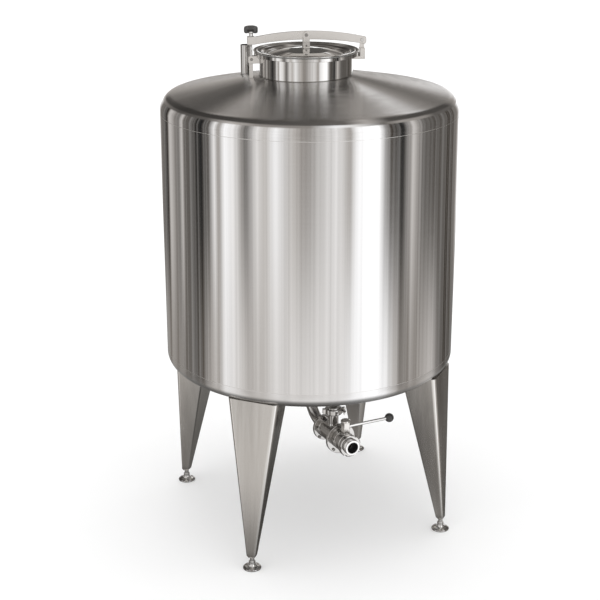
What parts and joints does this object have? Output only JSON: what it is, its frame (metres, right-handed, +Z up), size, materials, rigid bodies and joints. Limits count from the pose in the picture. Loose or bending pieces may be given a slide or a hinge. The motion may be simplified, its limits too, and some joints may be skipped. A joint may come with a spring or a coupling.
{
  "type": "vertical storage tank",
  "caption": "Round upright stainless steel tank with cone ends on tapered box legs, with a hinged manway lid on top and a lever valve under its bottom.",
  "frame": {"origin": "on the floor under the tank's axis", "axes": "+Z up along the tank's axis; the outlet points almost along -Y, turned 4.2 degrees towards +X"},
  "size_m": [1.1, 1.1, 1.9245],
  "materials": {
    "shell_steel": "rolled stainless sheet, satin with mirror-like bands",
    "head_steel": "stainless sheet, brushed",
    "leg_steel": "folded stainless sheet, satin",
    "bright_steel": "polished stainless steel",
    "plate_steel": "stainless plate, satin",
    "black_plastic": "black moulded plastic",
    "seal_rubber": "grey rubber"
  },
  "bodies": {
    "tank": {"tank_shell": "shell_steel", "top_head": "head_steel", "bottom_head": "head_steel", "vent_pipe": "bright_steel", "manway_neck": "bright_steel", "manway_seal": "seal_rubber", "hinge_bracket": "plate_steel", "hinge_pin": "bright_steel", "bolt_bracket": "plate_steel", "bolt_pin": "bright_steel", "leg_1": "leg_steel", "leg_2": "leg_steel", "leg_3": "leg_steel", "leg_4": "leg_steel", "foot_plate_1": "bright_steel", "foot_plate_2": "bright_steel", "foot_plate_3": "bright_steel", "foot_plate_4": "bright_steel", "foot_spindle_1": "bright_steel", "foot_spindle_2": "bright_steel", "foot_spindle_3": "bright_steel", "foot_spindle_4": "bright_steel", "outlet_elbow": "bright_steel", "rear_flange": "bright_steel", "inlet_body": "bright_steel", "port_cap": "bright_steel", "port_clamp": "bright_steel", "wing_nut": "bright_steel", "front_flange": "bright_steel", "valve_body": "bright_steel", "union_nut": "bright_steel", "outlet_end": "bright_steel"},
    "arm": {"lid_arm": "plate_steel", "lid": "bright_steel", "lid_link": "plate_steel", "lid_link_pin": "bright_steel"},
    "swing_bolt_body": {"swing_bolt": "bright_steel"},
    "knob": {"knob_hub": "bright_steel", "knob_grip": "black_plastic"},
    "lever": {"valve_ball": "bright_steel", "lever_hub": "plate_steel", "lever_nut": "plate_steel", "lever_rod": "bright_steel", "lever_ball": "black_plastic"}
  },
  "joints": [
    {"name": "lid_hinge", "type": "hinge", "parent": "tank", "child": "arm", "pos_m": [0.18627, -0.04722, 1.867], "axis": [0.2555, 0.9668, 0], "range_deg": [0, 100]},
    {"name": "bolt_hinge", "type": "hinge", "parent": "tank", "child": "swing_bolt_body", "pos_m": [-0.20626, 0.05649, 1.805], "axis": [-0.2555, -0.9668, 0], "range_deg": [0, 95]},
    {"name": "knob_turn", "type": "hinge", "parent": "swing_bolt_body", "child": "knob", "pos_m": [-0.20626, 0.05649, 1.905], "axis": [0, 0, 1], "continuous": true},
    {"name": "lever_turn", "type": "hinge", "parent": "tank", "child": "lever", "pos_m": [0.02219, -0.30219, 0.4615], "axis": [0, 0, -1], "range_deg": [0, 90]}
  ]
}
